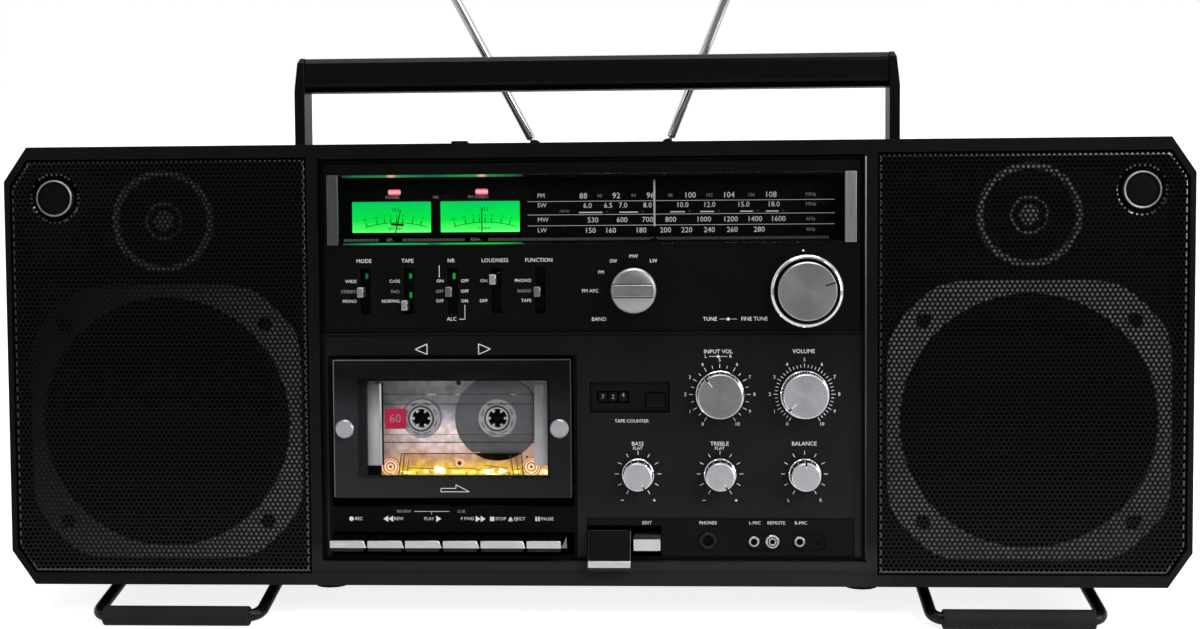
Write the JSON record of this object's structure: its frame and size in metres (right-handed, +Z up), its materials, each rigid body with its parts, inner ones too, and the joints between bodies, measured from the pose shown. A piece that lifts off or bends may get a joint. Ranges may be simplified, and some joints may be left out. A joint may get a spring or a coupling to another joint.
{
  "type": "radio cassette recorder",
  "caption": "Portable stereo radio cassette recorder with twin loudspeakers, tuning dial, meters, cassette deck, folding handle, tilt feet and antennas.",
  "frame": {"origin": "centre of the cabinet's underside", "axes": "+X to the right seen from the front, +Y from the front to the back, +Z up"},
  "size_m": [0.651, 0.163, 0.4573],
  "materials": {
    "cabinet": "fine satin moulded grain",
    "panel": "satin, fine grain",
    "grille": "satin black enamel on perforated sheet",
    "driver": "grey enamel frame, dark paper cone",
    "silver": "spun and brushed",
    "chrome": "polished",
    "gloss_black": "polished",
    "dial": "satin with printed scales",
    "smoked": "clear smoked",
    "shell": "translucent grey",
    "hub": "off-white",
    "zinc": "zinc plated",
    "board": "resist on fibre board",
    "rubber": "matt moulded",
    "bail": "black enamel wire, rubber sleeve on the bar",
    "pointer": "painted"
  },
  "bodies": {
    "cabinet": {"front_cabinet": "cabinet", "rear_cabinet": "cabinet", "grille_left": "grille", "grille_right": "grille", "woofer_left": "driver", "woofer_right": "driver", "tweeter_left": "driver", "tweeter_right": "driver", "tuner_panel": "panel", "amplifier_panel": "panel", "dial_window": "smoked", "dial_plate": "dial", "amplifier_board": "board", "tape_counter": "dial", "deck_chassis": "cabinet"},
    "battery_cover": {"battery_cover": "cabinet"},
    "handle": {"handle_frame": "bail", "handle_grip": "rubber"},
    "power_button": {"power_button": "gloss_black"},
    "tuning_knob": {"tuning_knob": "chrome"},
    "dial_pointer": {"dial_pointer": "pointer"},
    "fine_tuning_knob": {"fine_tuning_knob": "silver"},
    "band_knob": {"band_knob": "silver"},
    "mode_lever": {"mode_lever": "silver"},
    "tape_lever": {"tape_lever": "silver"},
    "noise_lever": {"noise_lever": "silver"},
    "loudness_lever": {"loudness_lever": "silver"},
    "function_lever": {"function_lever": "silver"},
    "meter_needle_left": {"meter_needle_left": "pointer"},
    "meter_needle_right": {"meter_needle_right": "pointer"},
    "cassette_door": {"cassette_door": "panel", "door_window": "smoked", "cassette_shell": "shell"},
    "reel_spindle_right": {"reel_spindle_right": "gloss_black"},
    "reel_spindle_left": {"reel_spindle_left": "gloss_black"},
    "tape_reel_left": {"tape_reel_left": "hub"},
    "tape_reel_right": {"tape_reel_right": "hub"},
    "head_bridge": {"head_bridge": "zinc"},
    "record_key": {"record_key": "silver"},
    "rewind_key": {"rewind_key": "silver"},
    "play_key": {"play_key": "silver"},
    "forward_key": {"forward_key": "silver"},
    "stop_key": {"stop_key": "silver"},
    "pause_key": {"pause_key": "silver"},
    "search_key": {"search_key": "gloss_black"},
    "edit_key": {"edit_key": "silver"},
    "counter_reset_button": {"counter_reset_button": "gloss_black"},
    "input_level_knob": {"input_level_knob": "silver"},
    "volume_knob": {"volume_knob": "silver"},
    "bass_knob": {"bass_knob": "silver"},
    "treble_knob": {"treble_knob": "silver"},
    "balance_knob": {"balance_knob": "silver"},
    "foot_bail_left": {"foot_bail_left": "bail"},
    "foot_bail_right": {"foot_bail_right": "bail"},
    "antenna_base_left": {"antenna_base_left": "chrome"},
    "antenna_tube_left": {"antenna_tube_left": "chrome"},
    "antenna_mast_left": {"antenna_mast_left": "chrome"},
    "antenna_base_right": {"antenna_base_right": "chrome"},
    "antenna_tube_right": {"antenna_tube_right": "chrome"},
    "antenna_mast_right": {"antenna_mast_right": "chrome"}
  },
  "joints": [
    {"name": "battery_cover_tilt", "type": "hinge", "parent": "cabinet", "child": "battery_cover", "pos_m": [0, 0.0757, 0.0123], "axis": [-1, 0, 0], "range_deg": [0, 90]},
    {"name": "handle_fold", "type": "hinge", "parent": "cabinet", "child": "handle", "pos_m": [0, -0.005, 0.236], "axis": [-1, 0, 0], "range_deg": [0, 64]},
    {"name": "power_press", "type": "slide", "parent": "cabinet", "child": "power_button", "axis": [0, 0, -1], "range_m": [0, 0.003], "stiffness_N_per_m": 300},
    {"name": "tuning_turn", "type": "hinge", "parent": "cabinet", "child": "tuning_knob", "pos_m": [0.1176, -0.076, 0.1622], "axis": [0, 1, 0], "range_deg": [-440, 784]},
    {"name": "pointer_travel", "type": "slide", "parent": "cabinet", "child": "dial_pointer", "axis": [1, 0, 0], "range_m": [-0.0555, 0.0985]},
    {"name": "fine_tuning_turn", "type": "hinge", "parent": "cabinet", "child": "fine_tuning_knob", "pos_m": [0.1176, -0.076, 0.1622], "axis": [0, 1, 0], "range_deg": [-150, 150]},
    {"name": "band_turn", "type": "hinge", "parent": "cabinet", "child": "band_knob", "pos_m": [0.0239, -0.076, 0.163], "axis": [0, 1, 0], "range_deg": [0, 120]},
    {"name": "mode_slide", "type": "slide", "parent": "cabinet", "child": "mode_lever", "axis": [0, 0, 1], "range_m": [-0.0073, 0.0067]},
    {"name": "tape_slide", "type": "slide", "parent": "cabinet", "child": "tape_lever", "axis": [0, 0, 1], "range_m": [0, 0.014]},
    {"name": "noise_slide", "type": "slide", "parent": "cabinet", "child": "noise_lever", "axis": [0, 0, 1], "range_m": [-0.0074, 0.0066]},
    {"name": "loudness_slide", "type": "slide", "parent": "cabinet", "child": "loudness_lever", "axis": [0, 0, 1], "range_m": [-0.014, 0]},
    {"name": "function_slide", "type": "slide", "parent": "cabinet", "child": "function_lever", "axis": [0, 0, 1], "range_m": [-0.0072, 0.0068]},
    {"name": "needle_swing_left", "type": "hinge", "parent": "cabinet", "child": "meter_needle_left", "pos_m": [-0.1089, -0.0671, 0.193], "axis": [0, 1, 0], "range_deg": [-57, 33]},
    {"name": "needle_swing_right", "type": "hinge", "parent": "cabinet", "child": "meter_needle_right", "pos_m": [-0.0602, -0.0671, 0.193], "axis": [0, 1, 0], "range_deg": [-45, 45]},
    {"name": "door_tilt", "type": "hinge", "parent": "cabinet", "child": "cassette_door", "pos_m": [-0.0765, -0.069, 0.054], "axis": [1, 0, 0], "range_deg": [0, 30]},
    {"name": "spindle_turn_right", "type": "hinge", "parent": "cabinet", "child": "reel_spindle_right", "pos_m": [-0.05245, -0.052, 0.0922], "axis": [0, 1, 0], "continuous": true},
    {"name": "spindle_turn_left", "type": "hinge", "parent": "cabinet", "child": "reel_spindle_left", "pos_m": [-0.09495, -0.052, 0.0922], "axis": [0, 1, 0], "continuous": true},
    {"name": "reel_turn_left", "type": "hinge", "parent": "cassette_door", "child": "tape_reel_left", "pos_m": [-0.09495, -0.0665, 0.0922], "axis": [0, 1, 0], "continuous": true},
    {"name": "reel_turn_right", "type": "hinge", "parent": "cassette_door", "child": "tape_reel_right", "pos_m": [-0.05245, -0.0665, 0.0922], "axis": [0, 1, 0], "continuous": true},
    {"name": "head_rise", "type": "slide", "parent": "cabinet", "child": "head_bridge", "axis": [0, 0, 1], "range_m": [0, 0.005]},
    {"name": "record_press", "type": "hinge", "parent": "cabinet", "child": "record_key", "pos_m": [-0.13465, -0.057, 0.023], "axis": [1, 0, 0], "range_deg": [0, 10], "stiffness_Nm_per_rad": 0.2},
    {"name": "rewind_press", "type": "hinge", "parent": "cabinet", "child": "rewind_key", "pos_m": [-0.1138, -0.057, 0.023], "axis": [1, 0, 0], "range_deg": [0, 10], "stiffness_Nm_per_rad": 0.2},
    {"name": "play_press", "type": "hinge", "parent": "cabinet", "child": "play_key", "pos_m": [-0.09295, -0.057, 0.023], "axis": [1, 0, 0], "range_deg": [0, 10], "stiffness_Nm_per_rad": 0.2},
    {"name": "forward_press", "type": "hinge", "parent": "cabinet", "child": "forward_key", "pos_m": [-0.0721, -0.057, 0.023], "axis": [1, 0, 0], "range_deg": [0, 10], "stiffness_Nm_per_rad": 0.2},
    {"name": "stop_press", "type": "hinge", "parent": "cabinet", "child": "stop_key", "pos_m": [-0.049, -0.057, 0.023], "axis": [1, 0, 0], "range_deg": [0, 10], "stiffness_Nm_per_rad": 0.2},
    {"name": "pause_press", "type": "hinge", "parent": "cabinet", "child": "pause_key", "pos_m": [-0.0259, -0.057, 0.023], "axis": [1, 0, 0], "range_deg": [0, 10], "stiffness_Nm_per_rad": 0.2},
    {"name": "search_press", "type": "hinge", "parent": "cabinet", "child": "search_key", "pos_m": [0.00975, -0.06, 0.024], "axis": [1, 0, 0], "range_deg": [0, 8], "stiffness_Nm_per_rad": 0.2},
    {"name": "edit_press", "type": "hinge", "parent": "cabinet", "child": "edit_key", "pos_m": [0.03035, -0.06, 0.024], "axis": [1, 0, 0], "range_deg": [0, 8], "stiffness_Nm_per_rad": 0.2},
    {"name": "counter_reset_press", "type": "slide", "parent": "cabinet", "child": "counter_reset_button", "axis": [0, 1, 0], "range_m": [0, 0.0015], "stiffness_N_per_m": 250},
    {"name": "input_level_turn", "type": "hinge", "parent": "cabinet", "child": "input_level_knob", "pos_m": [0.0706, -0.076, 0.1056], "axis": [0, 1, 0], "range_deg": [-110, 190]},
    {"name": "volume_turn", "type": "hinge", "parent": "cabinet", "child": "volume_knob", "pos_m": [0.1168, -0.076, 0.1056], "axis": [0, 1, 0], "range_deg": [-20, 280]},
    {"name": "bass_turn", "type": "hinge", "parent": "cabinet", "child": "bass_knob", "pos_m": [0.0256, -0.076, 0.0618], "axis": [0, 1, 0], "range_deg": [-300, 0]},
    {"name": "treble_turn", "type": "hinge", "parent": "cabinet", "child": "treble_knob", "pos_m": [0.0706, -0.076, 0.0618], "axis": [0, 1, 0], "range_deg": [-300, 0]},
    {"name": "balance_turn", "type": "hinge", "parent": "cabinet", "child": "balance_knob", "pos_m": [0.1168, -0.076, 0.0618], "axis": [0, 1, 0], "range_deg": [-150, 150]},
    {"name": "foot_fold_left", "type": "hinge", "parent": "cabinet", "child": "foot_bail_left", "pos_m": [-0.2325, -0.01, -0.0015], "axis": [1, 0, 0], "range_deg": [0, 170]},
    {"name": "foot_fold_right", "type": "hinge", "parent": "cabinet", "child": "foot_bail_right", "pos_m": [0.2325, -0.01, -0.0015], "axis": [1, 0, 0], "range_deg": [0, 170]},
    {"name": "antenna_swivel_left", "type": "hinge", "parent": "cabinet", "child": "antenna_base_left", "pos_m": [-0.042, 0.067, 0.244], "axis": [0, 0, -1], "range_deg": [0, 165]},
    {"name": "antenna_tilt_left", "type": "hinge", "parent": "antenna_base_left", "child": "antenna_tube_left", "pos_m": [-0.042, 0.067, 0.2506], "axis": [0, -1, 0], "range_deg": [-28, 62]},
    {"name": "antenna_extend_left", "type": "slide", "parent": "antenna_tube_left", "child": "antenna_mast_left", "axis": [-0.4695, 0, 0.8829], "range_m": [0, 0.14]},
    {"name": "antenna_swivel_right", "type": "hinge", "parent": "cabinet", "child": "antenna_base_right", "pos_m": [0.042, 0.067, 0.244], "axis": [0, 0, -1], "range_deg": [-165, 0]},
    {"name": "antenna_tilt_right", "type": "hinge", "parent": "antenna_base_right", "child": "antenna_tube_right", "pos_m": [0.042, 0.067, 0.2506], "axis": [0, 1, 0], "range_deg": [-22, 68]},
    {"name": "antenna_extend_right", "type": "slide", "parent": "antenna_tube_right", "child": "antenna_mast_right", "axis": [0.3746, 0, 0.9272], "range_m": [0, 0.14]}
  ],
  "couplings": [
    {"joint": "pointer_travel", "follows": "tuning_turn", "m_per_rad": 0.00716},
    {"joint": "reel_turn_right", "follows": "spindle_turn_right", "ratio": 1},
    {"joint": "spindle_turn_left", "follows": "spindle_turn_right", "ratio": 2.0431},
    {"joint": "reel_turn_left", "follows": "spindle_turn_right", "ratio": 2.0431},
    {"joint": "play_press", "follows": "head_rise", "rad_per_m": 34.9}
  ]
}
